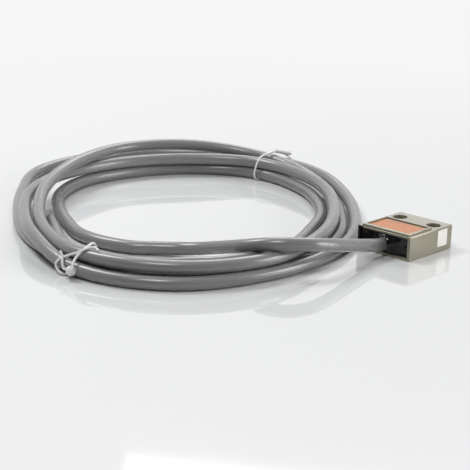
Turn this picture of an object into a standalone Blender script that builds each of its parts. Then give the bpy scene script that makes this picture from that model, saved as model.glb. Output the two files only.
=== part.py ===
"""Pre-wired miniature limit switch in a die-cast case, lying on its back beside its coiled cable.

Metres, +Z up. The origin is the middle of the case's back face. The plunger stands out of the
far end, towards +Y, and the cable leaves the other end, towards -Y. The plunger drives a pusher
against a small snap-action element, which sits on two pins inside the case. Resin closes the
cable end.
"""

import math

import bmesh
import bpy
from mathutils import Vector

# Gap that neighbouring pieces keep
CLEARANCE = 0.0003

# Case
CASE_WIDTH = 0.0396
CASE_LENGTH = 0.0438
CASE_HEIGHT = 0.0151
CASE_EDGE_RADIUS = 0.0004
CASE_HEEL_RADIUS = 0.002
SIDE_WALL = 0.0021
BACK_WALL = 0.0018
TOP_WALL = 0.0013
BLOCK_LENGTH = 0.0221
POCKET_CORNER_RADIUS = 0.0012

# Raised frame on the top face, and the thin plate that lies in it
FRAME_HEIGHT = 0.0011
FRAME_LENGTH = 0.0242
FRAME_SIDE_INSET = 0.0024
FRAME_END_INSET = 0.0013
FRAME_EDGE_RADIUS = 0.0002
FRAME_SIDE_RIM = 0.0014
FRAME_CABLE_RIM = 0.0025
FRAME_FAR_RIM = 0.0012
RECESS_DEPTH = 0.0014
PLATE_THICKNESS = 0.0003

# Two mounting holes near the far end
HOLE_SPACING = 0.0254
HOLE_INSET = 0.0101
HOLE_DIAMETER = 0.005
COUNTERBORE_DIAMETER = 0.0092
COUNTERBORE_DEPTH = 0.0065

# Sticker on the +X side
LABEL_LENGTH = 0.01
LABEL_HEIGHT = 0.0105
LABEL_THICKNESS = 0.0002
LABEL_INSET = 0.0053
LABEL_BOTTOM = 0.0034

# Plunger train, on one axis along Y
AXIS_HEIGHT = 0.0075
PLUNGER_DIAMETER = 0.006
PLUNGER_STAND_OUT = 0.0085
PLUNGER_DOME_HEIGHT = 0.0016
PLUNGER_HEAD_LENGTH = 0.0104
COLLAR_DIAMETER = 0.0076
COLLAR_THICKNESS = 0.0012
BUSHING_DIAMETER = 0.0096
BUSHING_STAND_OUT = 0.003
BUSHING_DEPTH = 0.0116
BUSHING_FLANGE_DIAMETER = 0.012
BUSHING_FLANGE_THICKNESS = 0.0012
BUSHING_CHAMFER = 0.0004
SEAL_WIDTH = 0.0007
SEAL_HEIGHT = 0.001
SHOULDER_THICKNESS = 0.0012
WASHER_THICKNESS = 0.0006
RETURN_WIRE = 0.0005
RETURN_TURNS = 3.5
PUSHER_DIAMETER = 0.0024
PUSHER_STAND_OUT = 0.0003
PUSHER_HEAD_DIAMETER = 0.0036
PUSHER_HEAD_THICKNESS = 0.0012
PUSHER_HEAD_DEPTH = 0.0004
OVERTRAVEL_WIRE = 0.0004
OVERTRAVEL_TURNS = 7.5

# Snap-action element
ELEMENT_WIDTH = 0.0198
ELEMENT_LENGTH = 0.011
ELEMENT_THICKNESS = 0.0064
ELEMENT_GAP = 0.0014
ELEMENT_SIDE_WALL = 0.0009
ELEMENT_END_WALL = 0.001
ELEMENT_FLOOR = 0.0009
COVER_THICKNESS = 0.0009
BUTTON_DIAMETER = 0.0019
BUTTON_FLANGE_DIAMETER = 0.0032
BUTTON_FLANGE_THICKNESS = 0.0006
STRIP_THICKNESS = 0.0006
STRIP_WIDTH = 0.003
BLADE_THICKNESS = 0.0003
BLADE_TAIL = 0.0002
BLADE_WINDOW_START = 0.0014
BLADE_WINDOW_WIDTH = 0.0014
CONTACT_DIAMETER = 0.0024
CONTACT_HEAD = 0.0005
CONTACT_SHANK_DIAMETER = 0.0012
MOVING_HEAD = 0.00045
CONTACT_SIDE_GAP = 0.0007
CONTACT_GAP = 0.00105
ANCHOR_LENGTH = 0.002
NO_TERMINAL_OFFSET = 0.0009
TERMINAL_STAND_OUT = 0.0014
PIN_DIAMETER = 0.0016
PIN_SHARE = 0.24
PIN_SEAT_DEPTH = 0.0016
BOSS_WALL = 0.0006

# Resin and cable
POTTING_RECESS = 0.0016
POTTING_DEPTH = 0.0074
POTTING_POCKET_HEIGHT = 0.0052
POTTING_COVER = 0.0029
CABLE_DIAMETER = 0.008
CABLE_HEIGHT = 0.007
CABLE_STRIP_DEPTH = 0.0023
CONDUCTOR_DIAMETER = 0.0013
CONDUCTOR_PITCH = 0.0018
CONDUCTOR_HANDLE = 0.7
CABLE_ROUTE = (
    (0.0, -0.0225, 0.0071),
    (0.0, -0.027, 0.0075),
    (-0.0015, -0.034, 0.0082),
    (-0.003, -0.044, 0.0102),
    (-0.0056, -0.058, 0.0125),
)

# Coil of cable: (bearing in degrees, inner reach, outer reach, top), bearings clockwise from COIL_TURNED
COIL_CENTRE = Vector((-0.1357, -0.0535, 0.0))
COIL_TURNED = math.radians(41.5)
COIL_BOTTOM = 0.0002
COIL_STATIONS = (
    (0, 0.082, 0.113, 0.011),
    (30, 0.081, 0.1195, 0.011),
    (60, 0.092, 0.137, 0.017),
    (90, 0.074, 0.151, 0.017),
    (120, 0.08, 0.143, 0.017),
    (150, 0.076, 0.118, 0.018),
    (180, 0.077, 0.115, 0.0215),
    (210, 0.091, 0.139, 0.0235),
    (240, 0.103, 0.161, 0.0245),
    (270, 0.11, 0.157, 0.024),
    (300, 0.105, 0.138, 0.0225),
    (330, 0.089, 0.12, 0.016),
)

# Wire ties round the coil
TIE_DIAMETER = 0.0015
TIE_FRONT_BEARING = 115
TIE_FRONT_INNER = 0.118
TIE_REAR_BEARING = 301
TIE_BOTTOM = 0.0001

# Facets
ROUND_STEPS = 40
FINE_STEPS = 20

# Places worked out from the sizes above
CABLE_END = -CASE_LENGTH / 2
FAR_END = CASE_LENGTH / 2
POCKET_END = FAR_END - BLOCK_LENGTH
POCKET_HALF_WIDTH = CASE_WIDTH / 2 - SIDE_WALL
POCKET_TOP = CASE_HEIGHT - TOP_WALL
HOLE_PLACES = ((-HOLE_SPACING / 2, FAR_END - HOLE_INSET), (HOLE_SPACING / 2, FAR_END - HOLE_INSET))
BUSHING_BORE = PLUNGER_DIAMETER / 2 + CLEARANCE
BUSHING_INNER_END = FAR_END - BUSHING_DEPTH
COLLAR_OUTER_FACE = BUSHING_INNER_END - CLEARANCE
COLLAR_INNER_FACE = COLLAR_OUTER_FACE - COLLAR_THICKNESS
CHAMBER_RADIUS = COLLAR_DIAMETER / 2 + CLEARANCE
CHAMBER_END = POCKET_END + SHOULDER_THICKNESS
PUSHER_HOLE = PUSHER_DIAMETER / 2 + CLEARANCE
WASHER_OUTER_FACE = CHAMBER_END + CLEARANCE + WASHER_THICKNESS
PLUNGER_BORE = PUSHER_HEAD_DIAMETER / 2 + CLEARANCE
PLUNGER_BORE_END = FAR_END + PLUNGER_STAND_OUT - PLUNGER_HEAD_LENGTH
PUSHER_TIP = POCKET_END - PUSHER_STAND_OUT
PUSHER_HEAD_FACE = COLLAR_INNER_FACE + PUSHER_HEAD_DEPTH
ELEMENT_FRONT = POCKET_END - ELEMENT_GAP
ELEMENT_REAR = ELEMENT_FRONT - ELEMENT_LENGTH
ELEMENT_BOTTOM = AXIS_HEIGHT - ELEMENT_THICKNESS / 2
ELEMENT_TOP = AXIS_HEIGHT + ELEMENT_THICKNESS / 2
BASE_TOP = ELEMENT_TOP - COVER_THICKNESS - CLEARANCE
INNER_FRONT = ELEMENT_FRONT - ELEMENT_END_WALL
INNER_HALF_WIDTH = ELEMENT_WIDTH / 2 - ELEMENT_SIDE_WALL
NC_STRIP_Y = INNER_FRONT - CLEARANCE - STRIP_THICKNESS / 2
NC_CONTACT_FACE = NC_STRIP_Y - STRIP_THICKNESS / 2 - CLEARANCE - CONTACT_HEAD
MOVING_HALF = BLADE_THICKNESS / 2 + CLEARANCE + MOVING_HEAD
BLADE_Y = NC_CONTACT_FACE - CLEARANCE - MOVING_HALF
NO_CONTACT_FACE = BLADE_Y - MOVING_HALF - CONTACT_GAP
NO_STRIP_Y = NO_CONTACT_FACE - CONTACT_HEAD - CLEARANCE - STRIP_THICKNESS / 2
TERMINAL_OFFSET = INNER_HALF_WIDTH - CLEARANCE - STRIP_THICKNESS / 2
TERMINAL_END = ELEMENT_REAR - TERMINAL_STAND_OUT
CONTACT_OFFSET = TERMINAL_OFFSET - STRIP_THICKNESS / 2 - CONTACT_SIDE_GAP - CONTACT_DIAMETER / 2
PIVOT_X = -TERMINAL_OFFSET + STRIP_THICKNESS / 2 + CLEARANCE + BLADE_TAIL
ANCHOR_Y = BLADE_Y - BLADE_THICKNESS / 2 - CLEARANCE - STRIP_THICKNESS / 2
PIN_HOLE = PIN_DIAMETER / 2 + CLEARANCE
BOSS_RADIUS = PIN_HOLE + BOSS_WALL
PIN_Y = ELEMENT_REAR + BOSS_RADIUS
PIN_PLACES = (-PIN_SHARE * ELEMENT_WIDTH, PIN_SHARE * ELEMENT_WIDTH)
BOSS_TOP = ELEMENT_BOTTOM - CLEARANCE
PIN_SEAT = BOSS_TOP - PIN_SEAT_DEPTH
POTTING_FACE = CABLE_END + POTTING_RECESS
POTTING_INNER_FACE = POTTING_FACE + POTTING_DEPTH
POTTING_POCKET_END = POTTING_FACE + POTTING_COVER
CABLE_STRIPPED_END = POTTING_FACE + CABLE_STRIP_DEPTH


def clear_scene():
    """Remove whatever the scene holds."""
    for obj in list(bpy.data.objects):
        bpy.data.objects.remove(obj, do_unlink=True)


def linear(channel):
    """Linear value of one sRGB channel given from 0 to 255."""
    value = channel / 255
    return value / 12.92 if value <= 0.04045 else ((value + 0.055) / 1.055) ** 2.4


def material(name, colour, roughness, metallic=0.0):
    """Principled material from an sRGB colour."""
    made = bpy.data.materials.new(name)
    made.use_nodes = True
    shader = made.node_tree.nodes["Principled BSDF"]
    shader.inputs["Base Color"].default_value = [linear(c) for c in colour] + [1.0]
    shader.inputs["Roughness"].default_value = roughness
    shader.inputs["Metallic"].default_value = metallic
    return made


def adopt(obj, collection, parent=None, location=(0, 0, 0), rotation=(0, 0, 0)):
    """Link an object to a collection and place it under its parent."""
    collection.objects.link(obj)
    obj.parent = parent
    obj.location = location
    obj.rotation_euler = rotation
    return obj


def empty(name, collection, parent=None, location=(0, 0, 0)):
    """An empty that carries other objects."""
    made = bpy.data.objects.new(name, None)
    return adopt(made, collection, parent, location)


def mesh_object(name, form, finish=None):
    """Object from a bmesh, which is freed."""
    bmesh.ops.recalc_face_normals(form, faces=form.faces)
    mesh = bpy.data.meshes.new(name)
    form.to_mesh(mesh)
    form.free()
    if finish:
        mesh.materials.append(finish)
    return bpy.data.objects.new(name, mesh)


def box_form(low, high):
    """Bmesh of a box between two corners."""
    form = bmesh.new()
    bmesh.ops.create_cube(form, size=1.0)
    low = Vector(low)
    high = Vector(high)
    bmesh.ops.scale(form, vec=high - low, verts=form.verts)
    bmesh.ops.translate(form, vec=(low + high) / 2, verts=form.verts)
    return form


def cylinder_form(radius, length, steps=ROUND_STEPS):
    """Bmesh of a cylinder on local Z, standing on its origin."""
    form = bmesh.new()
    bmesh.ops.create_cone(
        form, cap_ends=True, segments=steps, radius1=radius, radius2=radius, depth=length
    )
    bmesh.ops.translate(form, vec=(0, 0, length / 2), verts=form.verts)
    return form


def round_edges(form, edges, radius, steps):
    """Round some edges of a form."""
    bmesh.ops.bevel(
        form, geom=edges, offset=radius, segments=steps, profile=0.5, affect="EDGES", clamp_overlap=True
    )


def edges_along(form, axis):
    """Edges of a box form that run along one axis."""
    return [e for e in form.edges if abs((e.verts[0].co - e.verts[1].co).normalized()[axis]) > 0.99]


def turned(name, outline, finish, closed=False, steps=ROUND_STEPS):
    """Turned piece on local Z from (radius, height) points that run down its outer side."""
    mesh = bpy.data.meshes.new(name)
    count = len(outline)
    edges = [(i, i + 1) for i in range(count - 1)]
    if closed:
        edges.append((count - 1, 0))
    mesh.from_pydata([(radius, 0.0, height) for radius, height in outline], edges, [])
    mesh.materials.append(finish)
    made = bpy.data.objects.new(name, mesh)
    screw = made.modifiers.new("Turn", "SCREW")
    screw.steps = steps
    screw.render_steps = steps
    screw.use_merge_vertices = True
    screw.merge_threshold = 0.00001
    screw.use_smooth_shade = True
    return made


def wire(name, points, radius, finish=None, closed=False, resolution=2):
    """Round wire along a run of points."""
    curve = bpy.data.curves.new(name, "CURVE")
    curve.dimensions = "3D"
    curve.bevel_depth = radius
    curve.bevel_resolution = resolution
    curve.use_fill_caps = not closed
    spline = curve.splines.new("POLY")
    spline.points.add(len(points) - 1)
    for target, point in zip(spline.points, points):
        target.co = (*point, 1.0)
    spline.use_cyclic_u = closed
    if finish:
        curve.materials.append(finish)
    return bpy.data.objects.new(name, curve)


def smooth_route(points, per_span):
    """Points of a smooth curve that passes through each given point."""
    route = [Vector(p) for p in points]
    padded = [2 * route[0] - route[1], *route, 2 * route[-1] - route[-2]]
    smooth = []
    for before, start, end, after in zip(padded, padded[1:], padded[2:], padded[3:]):
        for step in range(per_span):
            t = step / per_span
            smooth.append(blend_span(before, start, end, after, t))
    smooth.append(route[-1])
    return smooth


def blend_span(before, start, end, after, t):
    """Catmull-Rom value between start and end, for numbers or vectors."""
    return 0.5 * (
        2 * start
        + (end - before) * t
        + (2 * before - 5 * start + 4 * end - after) * t * t
        + (3 * start - before - 3 * end + after) * t * t * t
    )


def boolean(target, tool, operation="DIFFERENCE"):
    """Cut or join the target with a tool object."""
    modifier = target.modifiers.new(operation.title(), "BOOLEAN")
    modifier.operation = operation
    modifier.object = tool
    return target


class Workshop:
    """Collections, carriers and materials that the pieces share."""

    def __init__(self):
        scene = bpy.context.scene.collection
        self.parts = bpy.data.collections.new("microswitch")
        self.cutters = bpy.data.collections.new("cutters")
        scene.children.link(self.parts)
        scene.children.link(self.cutters)
        self.case = empty("case_frame", self.parts)
        self.axis = empty("plunger_axis", self.parts, self.case, (0, 0, AXIS_HEIGHT))
        self.pivot = empty("blade_pivot", self.parts, self.case, (PIVOT_X, BLADE_Y, AXIS_HEIGHT))
        self.cast = material("cast metal", (152, 149, 134), 0.5, 0.35)
        self.copper = material("coppery plate", (222, 160, 125), 0.35, 0.7)
        self.paper = material("white sticker", (244, 241, 233), 0.6)
        self.resin = material("black resin", (24, 24, 25), 0.25)
        self.steel = material("bright steel", (190, 190, 188), 0.3, 1.0)
        self.brass = material("brass", (186, 160, 96), 0.35, 1.0)
        self.rubber = material("black rubber", (30, 30, 30), 0.7)
        self.moulding = material("dark moulding", (45, 40, 36), 0.5)
        self.button = material("red button", (150, 40, 30), 0.45)
        self.bronze = material("spring bronze", (190, 140, 90), 0.35, 1.0)
        self.silver = material("silver contact", (215, 215, 210), 0.25, 1.0)
        self.insulation = material("wire insulation", (170, 30, 28), 0.45)
        self.sheath = material("grey sheath", (112, 112, 112), 0.42)
        self.tie = material("white tie", (236, 236, 234), 0.5)

    def cutter(self, name, form, parent=None, location=(0, 0, 0), rotation=(0, 0, 0)):
        """Hidden helper that other pieces are cut or joined with."""
        tool = mesh_object(name, form)
        tool.hide_render = True
        tool.display_type = "WIRE"
        return adopt(tool, self.cutters, parent or self.case, location, rotation)

    def bore(self, name, radius, start, end):
        """Cutter on the plunger axis between two places along Y."""
        form = cylinder_form(radius, end - start)
        return self.cutter(name, form, self.axis, (0, start, 0), ALONG_Y)

    def upright(self, name, radius, place, bottom, top):
        """Vertical round cutter."""
        form = cylinder_form(radius, top - bottom)
        return self.cutter(name, form, self.case, (*place, bottom))

    def mesh_from(self, name, source):
        """Hidden closed mesh of a curve object, which is then removed."""
        self.parts.objects.link(source)
        bpy.context.view_layer.update()
        graph = bpy.context.evaluated_depsgraph_get()
        mesh = bpy.data.meshes.new_from_object(source.evaluated_get(graph))
        form = bmesh.new()
        form.from_mesh(mesh)
        bmesh.ops.remove_doubles(form, verts=form.verts, dist=0.000001)
        place = source.matrix_world.copy()
        bpy.data.objects.remove(source, do_unlink=True)
        bmesh.ops.transform(form, matrix=place, verts=form.verts)
        return self.cutter(name, form)


# Turns local Z to world +Y
ALONG_Y = (-math.pi / 2, 0, 0)


def build_housing(shop):
    """Die-cast case: solid far block, open pocket at the cable end, raised frame, two mounting holes."""
    half = CASE_WIDTH / 2
    over = CASE_HEIGHT
    form = box_form((-half, CABLE_END, 0), (half, FAR_END, CASE_HEIGHT))
    heel = [e for e in edges_along(form, 0) if e.verts[0].co.y > 0 and e.verts[0].co.z < CASE_HEIGHT / 2]
    round_edges(form, heel, CASE_HEEL_RADIUS, 5)
    housing = adopt(mesh_object("housing", form, shop.cast), shop.parts, shop.case)
    edge = housing.modifiers.new("Edges", "BEVEL")
    edge.width = CASE_EDGE_RADIUS
    edge.segments = 2
    edge.limit_method = "ANGLE"
    edge.angle_limit = math.radians(60)

    frame_half = half - FRAME_SIDE_INSET
    frame_start = CABLE_END + FRAME_END_INSET
    frame_end = frame_start + FRAME_LENGTH
    frame_top = CASE_HEIGHT + FRAME_HEIGHT
    form = box_form(
        (-frame_half, frame_start, CASE_HEIGHT - TOP_WALL / 2), (frame_half, frame_end, frame_top)
    )
    top_edges = [e for e in form.edges if all(v.co.z > CASE_HEIGHT for v in e.verts)]
    round_edges(form, top_edges + edges_along(form, 2), FRAME_EDGE_RADIUS, 2)
    boolean(housing, shop.cutter("raised_frame", form), "UNION")

    low, high = recess_box()
    form = box_form(low, (high[0], high[1], frame_top + over))
    boolean(housing, shop.cutter("frame_recess", form))

    form = box_form(
        (-POCKET_HALF_WIDTH, CABLE_END - over, BACK_WALL), (POCKET_HALF_WIDTH, POCKET_END, POCKET_TOP)
    )
    round_edges(form, edges_along(form, 1), POCKET_CORNER_RADIUS, 4)
    boolean(housing, shop.cutter("pocket", form))

    for index, x in enumerate(PIN_PLACES):
        boss = shop.upright(f"boss_{index}", BOSS_RADIUS, (x, PIN_Y), BACK_WALL / 2, BOSS_TOP)
        boolean(housing, boss, "UNION")
        boolean(housing, shop.upright(f"boss_hole_{index}", PIN_HOLE, (x, PIN_Y), PIN_SEAT, BOSS_TOP + over))
    for index, place in enumerate(HOLE_PLACES):
        hole = shop.upright(f"hole_{index}", HOLE_DIAMETER / 2, place, -over, CASE_HEIGHT + over)
        boolean(housing, hole)
        floor = CASE_HEIGHT - COUNTERBORE_DEPTH
        sink = shop.upright(f"counterbore_{index}", COUNTERBORE_DIAMETER / 2, place, floor, CASE_HEIGHT + over)
        boolean(housing, sink)

    seat = BUSHING_INNER_END - CLEARANCE
    boolean(housing, shop.bore("bushing_bore", BUSHING_DIAMETER / 2 + CLEARANCE, seat, FAR_END + over))
    boolean(housing, shop.bore("spring_chamber", CHAMBER_RADIUS, CHAMBER_END, seat + BUSHING_DEPTH / 2))
    boolean(housing, shop.bore("pusher_hole", PUSHER_HOLE, POCKET_END - over / 2, CHAMBER_END + CLEARANCE * 2))


def recess_box():
    """Low and high corners of the recess in the raised frame."""
    half = CASE_WIDTH / 2 - FRAME_SIDE_INSET - FRAME_SIDE_RIM
    start = CABLE_END + FRAME_END_INSET
    top = CASE_HEIGHT + FRAME_HEIGHT
    low = (-half, start + FRAME_CABLE_RIM, top - RECESS_DEPTH)
    high = (half, start + FRAME_LENGTH - FRAME_FAR_RIM, top)
    return low, high


def build_nameplate(shop):
    """Thin plate that lies in the frame's recess."""
    low, high = recess_box()
    floor = low[2] + CLEARANCE
    form = box_form(
        (low[0] + CLEARANCE, low[1] + CLEARANCE, floor),
        (high[0] - CLEARANCE, high[1] - CLEARANCE, floor + PLATE_THICKNESS),
    )
    adopt(mesh_object("nameplate", form, shop.copper), shop.parts, shop.case)


def build_label(shop):
    """Sticker on the narrow side."""
    face = CASE_WIDTH / 2 + CLEARANCE
    end = FAR_END - LABEL_INSET
    form = box_form(
        (face, end - LABEL_LENGTH, LABEL_BOTTOM),
        (face + LABEL_THICKNESS, end, LABEL_BOTTOM + LABEL_HEIGHT),
    )
    adopt(mesh_object("side_label", form, shop.paper), shop.parts, shop.case)


def build_plunger_train(shop):
    """Bushing, seal, plunger, springs, washer and pusher, all turned about the plunger axis."""
    radius = BUSHING_DIAMETER / 2
    mouth = FAR_END + BUSHING_STAND_OUT
    seal_outer = BUSHING_BORE + SEAL_WIDTH
    seal_seat = mouth - CLEARANCE - SEAL_HEIGHT - CLEARANCE
    flange_low = FAR_END + CLEARANCE
    flange_high = flange_low + BUSHING_FLANGE_THICKNESS
    outline = [
        (radius - BUSHING_CHAMFER, mouth),
        (radius, mouth - BUSHING_CHAMFER),
        (radius, flange_high),
        (BUSHING_FLANGE_DIAMETER / 2, flange_high),
        (BUSHING_FLANGE_DIAMETER / 2, flange_low),
        (radius, flange_low),
        (radius, BUSHING_INNER_END),
        (BUSHING_BORE, BUSHING_INNER_END),
        (BUSHING_BORE, seal_seat),
        (seal_outer + CLEARANCE, seal_seat),
        (seal_outer + CLEARANCE, mouth),
    ]
    bushing = turned("plunger_bushing", outline, shop.steel, closed=True)
    adopt(bushing, shop.parts, shop.axis, (0, 0, 0), ALONG_Y)

    seal_top = mouth - CLEARANCE
    groove = SEAL_WIDTH / 3
    outline = [
        (seal_outer, seal_top),
        (seal_outer, seal_top - SEAL_HEIGHT),
        (BUSHING_BORE, seal_top - SEAL_HEIGHT),
        (BUSHING_BORE + groove, seal_top - SEAL_HEIGHT / 2),
        (BUSHING_BORE, seal_top),
    ]
    adopt(turned("plunger_seal", outline, shop.rubber, closed=True), shop.parts, shop.axis, (0, 0, 0), ALONG_Y)

    tip = FAR_END + PLUNGER_STAND_OUT
    outline = dome(PLUNGER_DIAMETER / 2, tip, PLUNGER_DOME_HEIGHT) + [
        (PLUNGER_DIAMETER / 2, COLLAR_OUTER_FACE),
        (COLLAR_DIAMETER / 2, COLLAR_OUTER_FACE),
        (COLLAR_DIAMETER / 2, COLLAR_INNER_FACE),
        (PLUNGER_BORE, COLLAR_INNER_FACE),
        (PLUNGER_BORE, PLUNGER_BORE_END),
        (0.0, PLUNGER_BORE_END),
    ]
    adopt(turned("plunger", outline, shop.steel), shop.parts, shop.axis, (0, 0, 0), ALONG_Y)

    outline = [
        (COLLAR_DIAMETER / 2, WASHER_OUTER_FACE),
        (COLLAR_DIAMETER / 2, WASHER_OUTER_FACE - WASHER_THICKNESS),
        (PUSHER_HOLE, WASHER_OUTER_FACE - WASHER_THICKNESS),
        (PUSHER_HOLE, WASHER_OUTER_FACE),
    ]
    adopt(turned("spring_washer", outline, shop.steel, closed=True), shop.parts, shop.axis, (0, 0, 0), ALONG_Y)

    head_top = PUSHER_HEAD_FACE + PUSHER_HEAD_THICKNESS
    outline = [
        (0.0, head_top),
        (PUSHER_HEAD_DIAMETER / 2, head_top),
        (PUSHER_HEAD_DIAMETER / 2, PUSHER_HEAD_FACE),
        (PUSHER_DIAMETER / 2, PUSHER_HEAD_FACE),
        (PUSHER_DIAMETER / 2, PUSHER_TIP),
        (0.0, PUSHER_TIP),
    ]
    adopt(turned("pusher", outline, shop.brass, steps=FINE_STEPS), shop.parts, shop.axis, (0, 0, 0), ALONG_Y)

    build_spring(
        shop,
        "return_spring",
        COLLAR_DIAMETER / 2 - RETURN_WIRE / 2 - CLEARANCE / 2,
        RETURN_WIRE,
        WASHER_OUTER_FACE + CLEARANCE,
        COLLAR_INNER_FACE - CLEARANCE,
        RETURN_TURNS,
    )
    build_spring(
        shop,
        "overtravel_spring",
        PUSHER_HEAD_DIAMETER / 2 - OVERTRAVEL_WIRE / 2,
        OVERTRAVEL_WIRE,
        head_top + CLEARANCE,
        PLUNGER_BORE_END - CLEARANCE,
        OVERTRAVEL_TURNS,
    )


def dome(radius, tip, height):
    """Outline of a domed end, from its tip on the axis to its full radius."""
    steps = 6
    outline = []
    for index in range(steps + 1):
        angle = math.pi / 2 * index / steps
        outline.append((radius * math.sin(angle), tip - height * (1 - math.cos(angle))))
    return outline


def build_spring(shop, name, radius, gauge, start, end, turns):
    """Compression spring on the plunger axis between two places along Y."""
    per_turn = 14
    count = round(turns * per_turn)
    low = start + gauge / 2
    high = end - gauge / 2
    points = []
    for index in range(count + 1):
        angle = 2 * math.pi * index / per_turn
        rise = low + (high - low) * index / count
        points.append((radius * math.cos(angle), radius * math.sin(angle), rise))
    adopt(wire(name, points, gauge / 2, shop.steel), shop.parts, shop.axis, (0, 0, 0), ALONG_Y)


def build_switch_base(shop):
    """Moulded tray of the element, with two pin bosses, three terminal slots and a button hole."""
    half = ELEMENT_WIDTH / 2
    over = ELEMENT_THICKNESS
    form = box_form((-half, ELEMENT_REAR, ELEMENT_BOTTOM), (half, ELEMENT_FRONT, BASE_TOP))
    base = adopt(mesh_object("switch_base", form, shop.moulding), shop.parts, shop.case)
    floor = ELEMENT_BOTTOM + ELEMENT_FLOOR
    rear = ELEMENT_REAR + ELEMENT_END_WALL
    form = box_form((-INNER_HALF_WIDTH, rear, floor), (INNER_HALF_WIDTH, INNER_FRONT, BASE_TOP + over))
    boolean(base, shop.cutter("base_room", form))
    for index, x in enumerate(PIN_PLACES):
        low = ELEMENT_BOTTOM + ELEMENT_FLOOR / 2
        boss = shop.upright(f"base_boss_{index}", BOSS_RADIUS, (x, PIN_Y + CLEARANCE), low, BASE_TOP)
        boolean(base, boss, "UNION")
        hole = shop.upright(f"base_hole_{index}", PIN_HOLE, (x, PIN_Y), -over, ELEMENT_TOP + over)
        boolean(base, hole)
    for index, x in enumerate((-TERMINAL_OFFSET, NO_TERMINAL_OFFSET, TERMINAL_OFFSET)):
        half_slot = STRIP_THICKNESS / 2 + CLEARANCE
        half_high = STRIP_WIDTH / 2 + CLEARANCE
        form = box_form(
            (x - half_slot, ELEMENT_REAR - over, AXIS_HEIGHT - half_high),
            (x + half_slot, rear + CLEARANCE, AXIS_HEIGHT + half_high),
        )
        boolean(base, shop.cutter(f"terminal_slot_{index}", form))
    hole = BUTTON_DIAMETER / 2 + CLEARANCE
    boolean(base, shop.bore("button_hole", hole, INNER_FRONT - CLEARANCE, ELEMENT_FRONT + over))


def build_switch_cover(shop):
    """Flat cover of the element, with its two pin holes."""
    half = ELEMENT_WIDTH / 2
    form = box_form(
        (-half, ELEMENT_REAR, ELEMENT_TOP - COVER_THICKNESS), (half, ELEMENT_FRONT, ELEMENT_TOP)
    )
    round_edges(form, edges_along(form, 2), COVER_THICKNESS, 3)
    cover = adopt(mesh_object("switch_cover", form, shop.moulding), shop.parts, shop.case)
    for index, x in enumerate(PIN_PLACES):
        hole = shop.upright(f"cover_hole_{index}", PIN_HOLE, (x, PIN_Y), 0, CASE_HEIGHT)
        boolean(cover, hole)


def build_base_pins(shop):
    """Two pins from the bosses of the case through the element."""
    for name, x in zip(("base_pin_left", "base_pin_right"), PIN_PLACES):
        low = PIN_SEAT + CLEARANCE
        form = cylinder_form(PIN_DIAMETER / 2, ELEMENT_TOP - low, FINE_STEPS)
        adopt(mesh_object(name, form, shop.steel), shop.parts, shop.case, (x, PIN_Y, low))


def build_switch_button(shop):
    """Button between the pusher and the blade, kept in by its flange."""
    tip = PUSHER_TIP - CLEARANCE
    flange_top = INNER_FRONT - CLEARANCE
    foot = BLADE_Y + BLADE_THICKNESS / 2 + CLEARANCE
    radius = BUTTON_DIAMETER / 2
    outline = dome(radius, tip, radius / 2) + [
        (radius, flange_top),
        (BUTTON_FLANGE_DIAMETER / 2, flange_top),
        (BUTTON_FLANGE_DIAMETER / 2, flange_top - BUTTON_FLANGE_THICKNESS),
        (radius, flange_top - BUTTON_FLANGE_THICKNESS),
        (radius, foot),
        (0.0, foot),
    ]
    button = turned("switch_button", outline, shop.button, steps=FINE_STEPS)
    adopt(button, shop.parts, shop.axis, (0, 0, 0), ALONG_Y)


def build_blade(shop):
    """Spring blade with its window, and the contact rivet at its end."""
    half = STRIP_WIDTH / 2
    end = CONTACT_OFFSET - PIVOT_X + CONTACT_DIAMETER / 2 + CLEARANCE
    form = box_form((-BLADE_TAIL, -BLADE_THICKNESS / 2, -half), (end, BLADE_THICKNESS / 2, half))
    blade = adopt(mesh_object("moving_blade", form, shop.bronze), shop.parts, shop.pivot)
    middle = -PIVOT_X
    over = STRIP_WIDTH
    form = box_form(
        (BLADE_WINDOW_START, -over, -BLADE_WINDOW_WIDTH / 2),
        (middle - BUTTON_DIAMETER, over, BLADE_WINDOW_WIDTH / 2),
    )
    boolean(blade, shop.cutter("blade_window", form, shop.pivot))
    place = (CONTACT_OFFSET - PIVOT_X, -over, 0)
    hole = cylinder_form(CONTACT_SHANK_DIAMETER / 2 + CLEARANCE, 2 * over, FINE_STEPS)
    boolean(blade, shop.cutter("blade_hole", hole, shop.pivot, place, ALONG_Y))

    head = CONTACT_DIAMETER / 2
    shank = CONTACT_SHANK_DIAMETER / 2
    inner = BLADE_THICKNESS / 2 + CLEARANCE
    outline = [
        (0.0, MOVING_HALF),
        (head, MOVING_HALF),
        (head, inner),
        (shank, inner),
        (shank, -inner),
        (head, -inner),
        (head, -MOVING_HALF),
        (0.0, -MOVING_HALF),
    ]
    rivet = turned("moving_contact", outline, shop.silver, steps=FINE_STEPS)
    adopt(rivet, shop.parts, shop.pivot, (CONTACT_OFFSET - PIVOT_X, 0, 0), ALONG_Y)


def build_strip(shop, name, path):
    """Bent terminal strip along (x, y) places, upright on its width."""
    form = bmesh.new()
    verts = [form.verts.new((x, y, AXIS_HEIGHT - STRIP_WIDTH / 2)) for x, y in path]
    edges = [form.edges.new(pair) for pair in zip(verts, verts[1:])]
    grown = bmesh.ops.extrude_edge_only(form, edges=edges)["geom"]
    moved = [item for item in grown if isinstance(item, bmesh.types.BMVert)]
    bmesh.ops.translate(form, vec=(0, 0, STRIP_WIDTH), verts=moved)
    strip = adopt(mesh_object(name, form, shop.brass), shop.parts, shop.case)
    shell = strip.modifiers.new("Sheet", "SOLIDIFY")
    shell.thickness = STRIP_THICKNESS
    shell.offset = 0.0
    shell.use_even_offset = True
    return strip


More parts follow.
